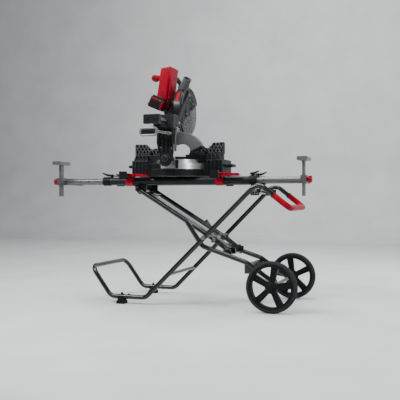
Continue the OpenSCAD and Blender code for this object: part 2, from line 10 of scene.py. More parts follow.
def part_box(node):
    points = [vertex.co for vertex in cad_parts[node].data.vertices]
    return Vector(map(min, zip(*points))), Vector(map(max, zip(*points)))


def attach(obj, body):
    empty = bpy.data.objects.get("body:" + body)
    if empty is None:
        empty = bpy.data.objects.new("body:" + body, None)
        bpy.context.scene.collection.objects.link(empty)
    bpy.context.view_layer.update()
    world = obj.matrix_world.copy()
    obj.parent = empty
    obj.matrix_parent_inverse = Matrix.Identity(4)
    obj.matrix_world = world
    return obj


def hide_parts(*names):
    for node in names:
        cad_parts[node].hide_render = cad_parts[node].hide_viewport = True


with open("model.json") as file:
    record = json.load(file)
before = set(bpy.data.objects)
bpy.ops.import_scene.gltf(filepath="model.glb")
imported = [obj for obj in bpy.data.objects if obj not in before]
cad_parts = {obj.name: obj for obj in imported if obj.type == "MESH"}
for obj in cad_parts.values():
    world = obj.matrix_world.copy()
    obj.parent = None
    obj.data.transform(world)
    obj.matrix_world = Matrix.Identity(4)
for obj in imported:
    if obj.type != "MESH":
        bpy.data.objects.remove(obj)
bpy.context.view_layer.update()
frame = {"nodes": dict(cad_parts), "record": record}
nodes = frame["nodes"]
X, Y, Z = Vector((1, 0, 0)), Vector((0, 1, 0)), Vector((0, 0, 1))

# Places shared by several pieces, in metres in the CAD frame
SAW_X = -0.020                  # the saw's centre plane
TABLE_TOP = 0.940               # foot of the upper fences
BEVEL_PIVOT = (-0.272, 0.9025)  # y, z
CHOP_PIVOT = (-0.150, 1.130)    # y, z
BATTERY_AT = (-0.114, -0.0685, 1.268)
BATTERY_TILT = 24
CHUTE_CENTRE = (0.061, 0.914)   # x, z
RIM_R = 0.200                   # turntable's rim
FENCE_BACK = -0.0338            # y of the ribs' rear edges
FENCE_PLATE = -0.0178           # y of the fences' plates
# Upper fence: (distance from the saw's centre plane, height over its foot), in mm
FENCE_TOP = [(72, 26), (84, 44), (168, 46), (196, 40), (232, 73), (300, 75), (305, 70)]
RIB_FIRST, RIB_STEP, RIB_MIDDLE, RIB_LEAN = 84, 24, 22, 32
LEG_CROSSING = (0.222, 0.422)   # x, z
RAIL_HINGE = (-0.258, 0.715)    # x, z
GRIP_START = (0.645, 0.224, 0.6783)
FOOT_Y, FOOT_X, FOOT_TOP = 0.25, -0.269, 0.0585
SPOKES = 5
SPOKE_LEAN = {"near": 8.0, "far": 26.0}

# ---------------------------------------------------------------- camera and studio
CAMERA_PLACE = (1.508, -4.025, 0.649)
CAMERA_YAW = 19.1
CAMERA_LENS = 59.67


def add_camera():
    cam = bpy.data.objects.new("Camera", bpy.data.cameras.new("Camera"))
    bpy.context.collection.objects.link(cam)
    cam.location = CAMERA_PLACE
    cam.rotation_euler = (math.radians(90), 0, math.radians(CAMERA_YAW))
    cam.data.lens = CAMERA_LENS
    cam.data.sensor_width = 36
    cam.data.clip_end = 60
    bpy.context.scene.camera = cam


def add_area(name, place, target, size, power):
    light = bpy.data.lights.new(name, "AREA")
    light.shape = "RECTANGLE"
    light.size, light.size_y = size
    light.energy = power
    lamp = bpy.data.objects.new(name, light)
    bpy.context.collection.objects.link(lamp)
    lamp.location = place
    lamp.rotation_euler = (Vector(target) - Vector(place)).to_track_quat("-Z", "Y").to_euler()


def add_studio():
    add_area("key", (-1.8, -2.4, 3.4), (0, 0, 0.7), (2.0, 0.7), 120)
    add_area("strip", (-0.5, -2.3, 2.9), (0, 0, 0.6), (3.6, 0.22), 75)
    add_area("wall", (0, 2.6, 4.4), (0, 7.2, 1.6), (5.0, 1.2), 240)
    add_area("top", (0.2, 0.2, 3.4), (0, 0, 0.8), (3.0, 0.5), 110)
    add_area("rim", (2.6, 2.0, 2.2), (0, 0, 0.7), (1.0, 2.4), 80)
    add_area("fill", (2.9, -2.6, 1.5), (0.1, 0, 0.7), (0.5, 2.2), 38)
    world = bpy.data.worlds.new("Studio")
    world.use_nodes = True
    world.node_tree.nodes["Background"].inputs[0].default_value = (0.86, 0.86, 0.85, 1)
    world.node_tree.nodes["Background"].inputs[1].default_value = 0.26
    bpy.context.scene.world = world


def add_floor():
    """Floor that curves up into a backdrop."""
    half, back, height, bend = 14.0, 7.0, 9.0, 1.2
    profile = [(-half, 0.0), (back - bend, 0.0)]
    for k in range(1, 13):
        a = math.radians(90 * k / 12)
        profile.append((back - bend + bend * math.sin(a), bend - bend * math.cos(a)))
    profile.append((back, height))
    bm = bmesh.new()
    rows = [[bm.verts.new((x, y, z)) for y, z in profile] for x in (-half, half)]
    for k in range(len(profile) - 1):
        bm.faces.new((rows[0][k], rows[1][k], rows[1][k + 1], rows[0][k + 1]))
    floor = mesh_object("floor", bm, None, MATS["floor"])


# ---------------------------------------------------------------- materials
def new_material(name):
    mat = bpy.data.materials.new(name)
    mat.use_nodes = True
    tree = mat.node_tree
    shader = tree.nodes["Principled BSDF"]
    return mat, tree, shader


def noise(tree, scale, detail=4.0, rough=0.55, stretch=(1, 1, 1)):
    coord = tree.nodes.new("ShaderNodeTexCoord")
    mapping = tree.nodes.new("ShaderNodeMapping")
    mapping.inputs["Scale"].default_value = stretch
    tex = tree.nodes.new("ShaderNodeTexNoise")
    tex.inputs["Scale"].default_value = scale
    tex.inputs["Detail"].default_value = detail
    tex.inputs["Roughness"].default_value = rough
    tree.links.new(coord.outputs["Object"], mapping.inputs["Vector"])
    tree.links.new(mapping.outputs["Vector"], tex.inputs["Vector"])
    return tex.outputs["Fac"]


def ramp(tree, source, stops):
    node = tree.nodes.new("ShaderNodeValToRGB")
    cr = node.color_ramp
    while len(cr.elements) < len(stops):
        cr.elements.new(0.5)
    for element, (place, value) in zip(cr.elements, stops):
        element.position = place
        element.color = (*value, 1) if isinstance(value, tuple) else (value, value, value, 1)
    tree.links.new(source, node.inputs["Fac"])
    return node.outputs["Color"]


def bump(tree, shader, source, strength, distance):
    """Fine relief from a grey source."""
    node = tree.nodes.new("ShaderNodeBump")
    node.inputs["Strength"].default_value = strength
    node.inputs["Distance"].default_value = distance
    tree.links.new(source, node.inputs["Height"])
    tree.links.new(node.outputs["Normal"], shader.inputs["Normal"])


def edge_wear_and_highlight(tree, base, worn_highlight_tone, amount, radius=0.0025):
    """Base colour with a lighter tone on the edges, broken up by noise: partly rubbed wear, partly painted highlight
    along the edges.
    """
    geometry = tree.nodes.new("ShaderNodeNewGeometry")
    rounded = tree.nodes.new("ShaderNodeBevel")
    rounded.samples = 4
    rounded.inputs["Radius"].default_value = radius
    dot = tree.nodes.new("ShaderNodeVectorMath")
    dot.operation = "DOT_PRODUCT"
    tree.links.new(rounded.outputs["Normal"], dot.inputs[0])
    tree.links.new(geometry.outputs["Normal"], dot.inputs[1])
    edges = ramp(tree, dot.outputs["Value"], [(0.86, 1.0), (0.985, 0.0)])
    spots = ramp(tree, noise(tree, 46, 6), [(0.36, 0.25), (0.6, 1.0)])
    times = tree.nodes.new("ShaderNodeMath")
    times.operation = "MULTIPLY"
    tree.links.new(edges, times.inputs[0])
    tree.links.new(spots, times.inputs[1])
    strength = tree.nodes.new("ShaderNodeMath")
    strength.operation = "MULTIPLY"
    strength.inputs[1].default_value = amount
    tree.links.new(times.outputs[0], strength.inputs[0])
    mix = tree.nodes.new("ShaderNodeMix")
    mix.data_type = "RGBA"
    tree.links.new(strength.outputs[0], mix.inputs["Factor"])
    tree.links.new(base, mix.inputs["A"])
    mix.inputs["B"].default_value = (*worn_highlight_tone, 1)
    return mix.outputs["Result"]


def tones(colour, spread):
    """A darker and a lighter tone round a colour."""
    return (tuple(c * (1 - spread) for c in colour), tuple(min(1, c * (1 + spread)) for c in colour))


def painted(name, colour, rough=(0.28, 0.42), metallic=0.0, coat=0.0, grain=0.0006, wear_and_highlight=0.5, spread=0.16):
    """Powder coat: fine orange peel, slightly cloudy colour, brighter edges that are partly rubbed wear and partly
    painted highlight.
    """
    mat, tree, shader = new_material(name)
    low, high = tones(colour, spread)
    base = ramp(tree, noise(tree, 9, 5), [(0.35, low), (0.65, high)])
    # Lighter edge tone: partly rubbed wear, partly painted highlight.
    worn_highlight_tone = tuple(min(1, c * 1.8 + 0.03) for c in colour)
    tree.links.new(edge_wear_and_highlight(tree, base, worn_highlight_tone, wear_and_highlight), shader.inputs["Base Color"])
    tree.links.new(ramp(tree, noise(tree, 14, 5), [(0.35, rough[0]), (0.7, rough[1])]), shader.inputs["Roughness"])
    shader.inputs["Metallic"].default_value = metallic
    shader.inputs["Coat Weight"].default_value = coat
    shader.inputs["Coat Roughness"].default_value = 0.14
    shader.inputs["Specular IOR Level"].default_value = 0.15
    bump(tree, shader, noise(tree, 900, 2), 0.18, grain)
    return mat


def plastic(name, colour, rough=(0.42, 0.6), grain_scale=1300, grain=0.0005, spread=0.12):
    """Moulded plastic: spark-eroded grain and faint handling marks."""
    mat, tree, shader = new_material(name)
    low, high = tones(colour, spread)
    tree.links.new(ramp(tree, noise(tree, 16, 6), [(0.35, low), (0.68, high)]), shader.inputs["Base Color"])
    tree.links.new(ramp(tree, noise(tree, 28, 6), [(0.4, rough[0]), (0.66, rough[1])]), shader.inputs["Roughness"])
    shader.inputs["Specular IOR Level"].default_value = 0.1
    bump(tree, shader, noise(tree, grain_scale, 2), 0.35, grain)
    return mat


def metal(name, colour, rough=(0.2, 0.38), stretch=(1, 1, 1), scale=60, grain=0.0003, spread=0.12, metallic=1.0):
    """Bare or plated metal with brushing along the short side of stretch."""
    mat, tree, shader = new_material(name)
    low, high = tones(colour, spread)
    brushed = noise(tree, scale, 7, 0.65, stretch)
    tree.links.new(ramp(tree, brushed, [(0.3, low), (0.7, high)]), shader.inputs["Base Color"])
    tree.links.new(ramp(tree, brushed, [(0.3, rough[0]), (0.7, rough[1])]), shader.inputs["Roughness"])
    shader.inputs["Metallic"].default_value = metallic
    bump(tree, shader, brushed, 0.15, grain)
    return mat


def cast(name, colour, rough=(0.45, 0.65), metallic=0.35, grain=0.0012, wear_and_highlight=0.8):
    """Sand-cast metal under paint: pitted, with lighter edges that are partly wear and partly painted highlight."""
    mat, tree, shader = new_material(name)
    low, high = tones(colour, 0.16)
    base = ramp(tree, noise(tree, 22, 7), [(0.35, low), (0.68, high)])
    # Lighter edge tone: partly wear, partly painted highlight.
    worn_highlight_tone = tuple(min(1, c * 3 + 0.16) for c in colour)
    tree.links.new(edge_wear_and_highlight(tree, base, worn_highlight_tone, wear_and_highlight), shader.inputs["Base Color"])
    tree.links.new(ramp(tree, noise(tree, 30, 6), [(0.35, rough[0]), (0.7, rough[1])]), shader.inputs["Roughness"])
    shader.inputs["Metallic"].default_value = metallic
    shader.inputs["Specular IOR Level"].default_value = 0.1
    bump(tree, shader, noise(tree, 420, 5), 0.45, grain)
    return mat


def rubber(name, colour, rough=(0.62, 0.82)):
    """Matt rubber with dusty patches."""
    mat, tree, shader = new_material(name)
    low, high = tones(colour, 0.3)
    dust = ramp(tree, noise(tree, 18, 7, 0.65), [(0.4, low), (0.72, high)])
    tree.links.new(dust, shader.inputs["Base Color"])
    tree.links.new(ramp(tree, noise(tree, 40, 5), [(0.35, rough[0]), (0.7, rough[1])]), shader.inputs["Roughness"])
    shader.inputs["Specular IOR Level"].default_value = 0.1
    bump(tree, shader, noise(tree, 700, 3), 0.3, 0.0006)
    return mat


def clear(name):
    """Smoked polycarbonate with fine scuffs."""
    mat, tree, shader = new_material(name)
    shader.inputs["Base Color"].default_value = (0.2, 0.21, 0.215, 1)
    shader.inputs["IOR"].default_value = 1.5
    shader.inputs["Transmission Weight"].default_value = 0.85
    tree.links.new(ramp(tree, noise(tree, 70, 8, 0.7), [(0.4, 0.03), (0.7, 0.14)]), shader.inputs["Roughness"])
    bump(tree, shader, noise(tree, 160, 4), 0.08, 0.0004)
    return mat


def concrete(name):
    """Plain pale floor and backdrop, faintly clouded."""
    mat, tree, shader = new_material(name)
    tree.links.new(ramp(tree, noise(tree, 2.2, 8), [(0.3, (0.56, 0.57, 0.58)), (0.7, (0.64, 0.65, 0.66))]),
                   shader.inputs["Base Color"])
    shader.inputs["Roughness"].default_value = 0.85
    bump(tree, shader, noise(tree, 120, 5), 0.1, 0.002)
    return mat


# The wear value sets how strong the lighter edges are: partly wear, partly painted highlight.
MATS = {
    "floor": concrete("floor_plain"),
    "rail_paint": painted("rail_paint", (0.016, 0.0165, 0.0175), (0.3, 0.42), 0.3, wear_and_highlight=0.2),
    "frame_paint": painted("frame_paint", (0.006, 0.0062, 0.0066), (0.2, 0.3), 0.2, 0.8, wear_and_highlight=0.4),
    "black_plastic": plastic("black_plastic", (0.0075, 0.0075, 0.008), (0.4, 0.56)),
    "grey_plastic": plastic("grey_plastic", (0.075, 0.076, 0.079)),
    "red_plastic": plastic("red_plastic", (0.25, 0.0, 0.012), (0.3, 0.44)),
    "red_paint": painted("red_paint", (0.31, 0.0, 0.012), (0.26, 0.4), 0.0, 0.15, wear_and_highlight=0.3),
    "bar_steel": metal("bar_steel", (0.13, 0.133, 0.138), (0.32, 0.46), (1, 14, 14), 30, metallic=0.85),
    "steel": metal("steel", (0.24, 0.242, 0.248), (0.28, 0.36), scale=22, spread=0.06),
    "post_metal": metal("post_metal", (0.16, 0.163, 0.167), (0.3, 0.46), (12, 12, 1), 30, metallic=0.8),
    "grip_rubber": rubber("grip_rubber", (0.3, 0.0, 0.012), (0.34, 0.5)),
    "foot_rubber": rubber("foot_rubber", (0.01, 0.01, 0.011)),
    "wheel_plastic": plastic("wheel_plastic", (0.009, 0.0095, 0.01), (0.28, 0.42)),
    "tyre": rubber("tyre", (0.024, 0.025, 0.027), (0.55, 0.75)),
    "casting": cast("casting", (0.014, 0.0145, 0.0155), (0.34, 0.52)),
    "fence_cast": cast("fence_cast", (0.02, 0.021, 0.023), (0.34, 0.52), wear_and_highlight=1.0),
    "bare_cast": metal("bare_cast", (0.66, 0.67, 0.68), (0.24, 0.42), (1, 1, 16), 26),
    "guard_paint": painted("guard_paint", (0.013, 0.0135, 0.0145), (0.26, 0.4), 0.1, 0.1, wear_and_highlight=0.9),
    "clear_guard": clear("clear_guard"),
    "blade_steel": metal("blade_steel", (0.66, 0.67, 0.68), (0.16, 0.3), (1, 1, 1), 90),
    "handle_grey": metal("handle_grey", (0.2, 0.203, 0.208), (0.32, 0.46), metallic=0.7),
}


# ---------------------------------------------------------------- mesh helpers
def mesh_object(name, bm, body, material, smooth=False, bevel=0.0, segments=2):
    """Turns a bmesh into a piece that rides on a body."""
    bmesh.ops.recalc_face_normals(bm, faces=bm.faces)
    mesh = bpy.data.meshes.new(name)
    bm.to_mesh(mesh)
    bm.free()
    mesh.materials.append(material)
    for face in mesh.polygons:
        face.use_smooth = smooth
    piece = bpy.data.objects.new(name, mesh)
    bpy.context.collection.objects.link(piece)
    if bevel:
        soften(piece, bevel, segments)
    if body:
        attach(piece, body)
    return piece


def soften(piece, width, segments=2, angle=32):
    """Rounds the sharp edges a little, as on a moulding, casting or cut plate."""
    mod = piece.modifiers.new("round", "BEVEL")
    mod.width = width
    mod.segments = segments
    mod.limit_method = "ANGLE"
    mod.angle_limit = math.radians(angle)
    for face in piece.data.polygons:
        face.use_smooth = True
    piece.data.set_sharp_from_angle(angle=math.radians(angle))


SOFT_EDGES = {
    "saw_base": 0.003, "turntable": 0.0012, "fence_base": 0.0015, "bevel_trunk": 0.003, "head_yoke": 0.004,
    "saw_arm": 0.003, "bracket_left": 0.0015, "bracket_right": 0.0015, "rail_collars": 0.0015,
    "cam_lever_left": 0.003, "cam_lever_right": 0.003, "ext_lever_left": 0.002, "ext_lever_right": 0.002,
    "post_left": 0.002, "post_right": 0.002, "foot_pads": 0.004, "inner_cross": 0.0015, "hinge_lugs": 0.0015,
}


def dress_cad():
    """Gives every carried-over CAD node its material, and rounds the edges of those that show."""
    slots = {s["node"]: s["material_slot"] for s in frame["record"]["subparts"]}
    for name, piece in nodes.items():
        mat = MATS[slots[name]]
        if not piece.material_slots:
            piece.data.materials.append(mat)
        for place in piece.material_slots:
            place.material = mat
        if name in SOFT_EDGES:
            mod = piece.modifiers.new("round", "BEVEL")
            mod.width = SOFT_EDGES[name]
            mod.segments = 2
            mod.limit_method = "ANGLE"
            mod.angle_limit = math.radians(35)


# ---------------------------------------------------------------- shape helpers
def mid(node):
    low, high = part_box(node)
    return (Vector(low) + Vector(high)) / 2


def span(node):
    low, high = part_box(node)
    return Vector(high) - Vector(low)


def basis(axis):
    """Two directions that make a right-handed frame with axis."""
    axis = Vector(axis).normalized()
    side = axis.cross(Z) if abs(axis.z) < 0.9 else axis.cross(X)
    side.normalize()
    return side, axis.cross(side), axis


def lathe_mesh(bm, centre, axis, profile, steps=96, start=0.0, sweep=360.0, zero=None):
    """Turns a closed profile of (radius, height) about axis through centre; a part turn gets end faces."""
    if zero is None:
        u, v, w = basis(axis)
    else:
        w = Vector(axis).normalized()
        u = Vector(zero).normalized()
        v = w.cross(u)
    full = sweep >= 360
    count = steps if full else steps + 1
    rings = []
    for k in range(count):
        a = math.radians(start + sweep * k / steps)
        out = u * math.cos(a) + v * math.sin(a)
        rings.append([bm.verts.new(Vector(centre) + out * r + w * h) for r, h in profile])
    n = len(profile)
    for k in range(steps):
        a, b = rings[k], rings[(k + 1) % count]
        for j in range(n):
            bm.faces.new((a[j], a[(j + 1) % n], b[(j + 1) % n], b[j]))
    if not full:
        bm.faces.new(rings[0])
        bm.faces.new(list(reversed(rings[-1])))


def lathe(name, body, material, centre, axis, profile, slot=None, **how):
    bm = bmesh.new()
    lathe_mesh(bm, centre, axis, profile, **how)
    piece = mesh_object(name, bm, body, material, smooth=True)
    piece.data.set_sharp_from_angle(angle=math.radians(35))
    return piece


def prism_mesh(bm, outline, origin, u, v, depth):
    """A plate: outline in (u, v) about origin, pushed along u x v by depth."""
    u, v = Vector(u), Vector(v)
    push = u.cross(v).normalized() * depth
    low = [bm.verts.new(Vector(origin) + u * a + v * b) for a, b in outline]
    high = [bm.verts.new(p.co + push) for p in low]
    bm.faces.new(list(reversed(low)))
    bm.faces.new(high)
    n = len(outline)
    for k in range(n):
        bm.faces.new((low[k], low[(k + 1) % n], high[(k + 1) % n], high[k]))


def prism(name, body, material, outline, origin, u, v, depth, bevel=0.001, segments=2):
    bm = bmesh.new()
    prism_mesh(bm, outline, origin, u, v, depth)
    return mesh_object(name, bm, body, material, bevel=bevel, segments=segments)


def box_mesh(bm, low, high, turn=None, about=None):
    corners = [Vector((x, y, z)) for x in (low[0], high[0]) for y in (low[1], high[1]) for z in (low[2], high[2])]
    if turn is not None:
        corners = [turn @ (c - Vector(about)) + Vector(about) for c in corners]
    v = [bm.verts.new(c) for c in corners]
    for f in ((0, 1, 3, 2), (4, 6, 7, 5), (0, 4, 5, 1), (2, 3, 7, 6), (0, 2, 6, 4), (1, 5, 7, 3)):
        bm.faces.new([v[i] for i in f])


def boxes(name, body, material, spans, bevel=0.0015, turn=None, about=None, segments=2):
    bm = bmesh.new()
    for low, high in spans:
        box_mesh(bm, low, high, turn, about)
    return mesh_object(name, bm, body, material, bevel=bevel, segments=segments)


def disc_profile(radius, height, edge, bore=0.0):
    """Closed profile of a round boss with a rounded outer edge, from height 0 up."""
    points = [(bore, 0.0), (radius, 0.0)]
    for k in range(5):
        a = math.radians(90 * k / 4)
        points.append((radius - edge + edge * math.cos(a), height - edge + edge * math.sin(a)))
    points.append((bore, height))
    return points


def bolts(name, body, places, axis, radius, height, material=None, washer=True):
    """Hexagon heads on washers, all in one mesh; each place is the middle of its seat."""
    bm = bmesh.new()
    u, v, w = basis(axis)
    for place in places:
        place = Vector(place)
        if washer:
            lathe_mesh(bm, place, axis, disc_profile(radius * 1.45, height * 0.22, height * 0.08, 0.0005), steps=24)
        hexagon = [(radius * math.cos(math.radians(60 * k + 12)), radius * math.sin(math.radians(60 * k + 12)))
                   for k in range(6)]
        prism_mesh(bm, hexagon, place + w * height * 0.2, u, v, height * 0.8)
    return mesh_object(name, bm, body, material or MATS["steel"], bevel=radius * 0.1)


def saw(x, y, z):
    """A place given from the saw's centre plane."""
    return Vector((SAW_X + x, y, z))


# ---------------------------------------------------------------- wheels
def ring_about_y(angle):
    """Direction in the XZ plane at that angle from +X towards +Z."""
    a = math.radians(angle)
    return Vector((math.cos(a), 0, math.sin(a)))


def wheel_rim_profile(rim, lip, half):
    """Channel-shaped rim: bead seats outside, a groove ring on each face."""
    side = [(rim, half), (rim - 0.004, half), (rim - 0.005, half - 0.004), (rim - 0.0105, half - 0.004),
            (rim - 0.0115, half), (lip + 0.001, half), (lip, half - 0.002), (lip + 0.002, half * 0.45),
            (lip + 0.004, 0.004)]
    return side + [(r, -h) for r, h in reversed(side)]


def make_wheel(which, side):
    body, centre = which + "_wheel", mid("wheel_" + which)
    rim = span("wheel_" + which).x / 2
    half = span("tyre_" + which).y / 2 - 0.0015
    lip = rim - 0.017
    axle = 0.0102
    bm = bmesh.new()
    lathe_mesh(bm, centre, Y, wheel_rim_profile(rim - 0.0002, lip, half), steps=120)
    hub = [(axle, -0.0228), (0.021, -0.0228), (0.0235, -0.021), (0.026, -0.014), (0.036, -0.0125), (0.0375, -0.011),
           (0.0375, 0.011), (0.036, 0.0125), (0.026, 0.014), (0.0235, 0.021), (0.021, 0.0228), (axle, 0.0228)]
    lathe_mesh(bm, centre, Y, hub, steps=64)
    for k in range(SPOKES):
        out = ring_about_y(SPOKE_LEAN[which] + 72 * k)
        across = out.cross(Y)
        start, end = 0.034, lip + 0.005
        inner, outer = 0.0165, 0.0205
        plate = [(start, -inner), (end, -outer), (end, outer), (start, inner)]
        prism_mesh(bm, plate, centre - out.cross(across) * 0.0075, out, across, 0.015)
        wall = 0.0042
        for sign in (-1, 1):
            flange = [(start, sign * (inner - wall)), (end, sign * (outer - wall)),
                      (end, sign * outer), (start, sign * inner)]
            prism_mesh(bm, flange, centre - out.cross(across) * 0.0135, out, across, 0.027)
        rib = [(start, -0.0016), (end, -0.0016), (end, 0.0016), (start, 0.0016)]
        prism_mesh(bm, rib, centre - out.cross(across) * 0.0115, out, across, 0.023)
    wheel = mesh_object("wheel_%s_spoked" % which, bm, body, MATS["wheel_plastic"], bevel=0.0011)
    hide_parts("wheel_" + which)
    cap = [(0.0003, 0.0), (0.0185, 0.0), (0.0185, 0.004), (0.016, 0.0075), (0.0105, 0.0085), (0.0095, 0.0068),
           (0.0003, 0.0068)]
    lathe("hub_cap_" + which, "inner_frame", MATS["black_plastic"], centre + Y * side * 0.0335, Y * side, cap,
          "black_plastic", steps=48)


# Half-block of tread: (distance from the middle, lean in degrees, drop from the crown)
TREAD_BLOCK = [(0.0018, 0.0, 0.0), (0.0115, 1.3, 0.0), (0.0178, 1.9, -0.0016), (0.0222, 2.1, -0.0098)]


def make_tyre(which):
    body, node = which + "_wheel", "tyre_" + which
    centre, outer, half = mid(node), span(node).x / 2, span(node).y / 2
    inner, crown = outer - 0.018, outer - 0.0026
    profile = [(inner, -half + 0.002), (inner + 0.0025, -half + 0.0006), (inner + 0.007, -half)]
    for k in range(9):
        a = math.radians(90 * k / 8)
        profile.append((crown - 0.0075 + 0.0075 * math.sin(a), -half + 0.011 - 0.011 * math.cos(a)))
    profile += [(r, -h) for r, h in reversed(profile)]
    bm = bmesh.new()
    lathe_mesh(bm, centre, Y, profile, steps=144)
    count = 64
    for k in range(count):
        for side in (-1, 1):
            middle = 360 / count * (k + (0.5 if side > 0 else 0.0))
            rows = []
            for y, lean, top in TREAD_BLOCK:
                for edge in (-1.35, 1.35):
                    out = ring_about_y(middle + lean * side + edge)
                    rows.append((centre + out * (outer + top) + Y * side * y,
                                 centre + out * (outer + top - 0.0045) + Y * side * (y - (0.003 if y > 0.02 else 0))))
            verts = [(bm.verts.new(a), bm.verts.new(b)) for a, b in rows]
            for j in range(0, 6, 2):
                (a, a2), (b, b2), (c, c2), (d, d2) = verts[j], verts[j + 1], verts[j + 2], verts[j + 3]
                bm.faces.new((a, b, d, c))
                bm.faces.new((a2, c2, d2, b2))
                bm.faces.new((a, c, c2, a2))
                bm.faces.new((b, b2, d2, d))
            bm.faces.new((verts[0][0], verts[0][1], verts[1][1], verts[1][0]))
            bm.faces.new((verts[6][0], verts[6][1], verts[7][1], verts[7][0]))
    for r, y in ((inner + 0.0055, half + 0.0003), (inner + 0.0085, half + 0.0002)):
        for side in (-1, 1):
            bead = [(r - 0.0006, y - 0.001), (r + 0.0006, y - 0.001), (r + 0.0004, y), (r - 0.0004, y)]
            lathe_mesh(bm, centre, Y * side, bead, steps=120)
    tyre = mesh_object(node + "_treaded", bm, body, MATS["tyre"], smooth=True)
    tyre.data.set_sharp_from_angle(angle=math.radians(28))
    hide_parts(node)


# ---------------------------------------------------------------- guards
def guard_profile(outer, low, high, wall, corner):
    """Cross-section of a guard open towards the blade: side wall, rounded crown, side wall."""
    shell = [(0.03, low)]
    for k in range(7):
        a = math.radians(90 * k / 6)
        shell.append((outer - corner + corner * math.sin(a), low + corner - corner * math.cos(a)))
    for k in range(7):
        a = math.radians(90 * k / 6)
        shell.append((outer - corner + corner * math.cos(a), high - corner + corner * math.sin(a)))
    shell.append((0.03, high))
    lining = [(0.03, high - wall), (outer - corner, high - wall), (outer - wall, high - corner),
              (outer - wall, low + corner), (outer - corner, low + wall), (0.03, low + wall)]
    return shell + lining


def blade_axis():
    return mid("blade")


def guard_piece(name, body, material, slot, outer, low, high, wall, corner, start, end):
    """Angles run from +Y towards +Z, seen from +X."""
    return lathe(name, body, material, blade_axis(), X, guard_profile(outer, low, high, wall, corner), slot,
                 steps=84, start=start, sweep=end - start, zero=Y)


def make_guards():
    centre = blade_axis()
    low, high = (v[0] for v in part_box("upper_guard"))
    outer = 0.167
    guard = guard_piece("upper_guard_shell", "head", MATS["guard_paint"], "guard_paint", outer,
                        low - centre.x, high - centre.x, 0.003, 0.014, 25, 212)
    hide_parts("upper_guard")
    right = high - centre.x
    for k, (inner, rim) in enumerate(((0.148, 0.152), (0.098, 0.102))):
        lathe("guard_bead_%d" % k, "head", MATS["guard_paint"], centre + X * right, X,
              [(inner, -0.001), (rim, -0.001), (rim - 0.0008, 0.0022), (inner + 0.0008, 0.0022)], "guard_paint",
              steps=84, start=28, sweep=180, zero=Y)
    bm = bmesh.new()
    for k in range(15):
        a = 36 + 12 * k
        out = Y * math.cos(math.radians(a)) + Z * math.sin(math.radians(a))
        across = X.cross(out)
        prism_mesh(bm, [(0.101, -0.0013), (0.149, -0.0013), (0.149, 0.0013), (0.101, 0.0013)],
                   centre + X * (right - 0.001), out, across, 0.0026)
    mesh_object("guard_ribs", bm, "head", MATS["guard_paint"], bevel=0.0005)
    lathe("guard_hub_plate", "head", MATS["black_plastic"], centre + X * (right - 0.002), X,
          [(0.028, 0), (0.092, 0), (0.092, 0.003), (0.088, 0.006), (0.034, 0.006), (0.028, 0.003)], "black_plastic",
          steps=64, start=30, sweep=176, zero=Y)
    screws = [centre + X * (right + 0.004) + 0.078 * (Y * math.cos(math.radians(a)) + Z * math.sin(math.radians(a)))
              for a in (50, 100, 150, 195)]
    bolts("guard_screws", "head", screws, X, 0.0048, 0.004)
    stripe = [(outer - 0.0006, -0.012), (outer + 0.0012, -0.011), (outer + 0.0012, 0.011), (outer - 0.0006, 0.012)]
    lathe("guard_red_stripe", "head", MATS["red_plastic"], centre + X * 0.007, X, stripe, "red_plastic",
          steps=24, start=138, sweep=22, zero=Y)

    low, high = (v[0] - centre.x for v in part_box("lower_guard"))
    low += 0.0006
    lower = guard_piece("lower_guard_shell", "lower_guard", MATS["clear_guard"], "clear_guard", 0.161,
                        low, high, 0.0024, 0.014, 200, 384)
    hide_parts("lower_guard")
    lathe("lower_guard_collar", "lower_guard", MATS["black_plastic"], centre + X * low, X,
          [(0.0283, 0), (0.041, 0), (0.041, 0.0036), (0.0283, 0.0036)], "black_plastic", steps=48)
    lathe("lower_guard_rim", "lower_guard", MATS["black_plastic"], centre, X,
          [(0.1588, high - 0.0006), (0.1612, high - 0.004), (0.1618, high - 0.003), (0.1594, high + 0.0006)],
          "black_plastic", steps=84, start=200, sweep=184, zero=Y)
    bm = bmesh.new()
    for k in range(12):
        a = 208 + 15 * k
        out = Y * math.cos(math.radians(a)) + Z * math.sin(math.radians(a))
        prism_mesh(bm, [(0.05, -0.0011), (0.155, -0.0011), (0.155, 0.0011), (0.05, 0.0011)],
                   centre + X * (high - 0.0004), out, X.cross(out), 0.0018)
    mesh_object("lower_guard_ribs", bm, "lower_guard", MATS["clear_guard"], bevel=0.0004)


# ---------------------------------------------------------------- motor and battery
MOTOR_SIDE = [(-0.080, 1.228), (-0.130, 1.240), (-0.144, 1.290), (-0.142, 1.336), (-0.130, 1.400), (-0.122, 1.460),
              (-0.116, 1.503), (-0.045, 1.511), (-0.037, 1.499), (-0.045, 1.460), (-0.058, 1.400), (-0.072, 1.336)]
MOTOR_PANEL = [(-0.086, 1.262), (-0.124, 1.282), (-0.130, 1.334), (-0.119, 1.400), (-0.109, 1.478), (-0.062, 1.484),
               (-0.060, 1.440), (-0.080, 1.340)]


def motor_edge(z):
    """The right side's x at height z."""
    return -0.072 + (z - 1.336) * 0.218


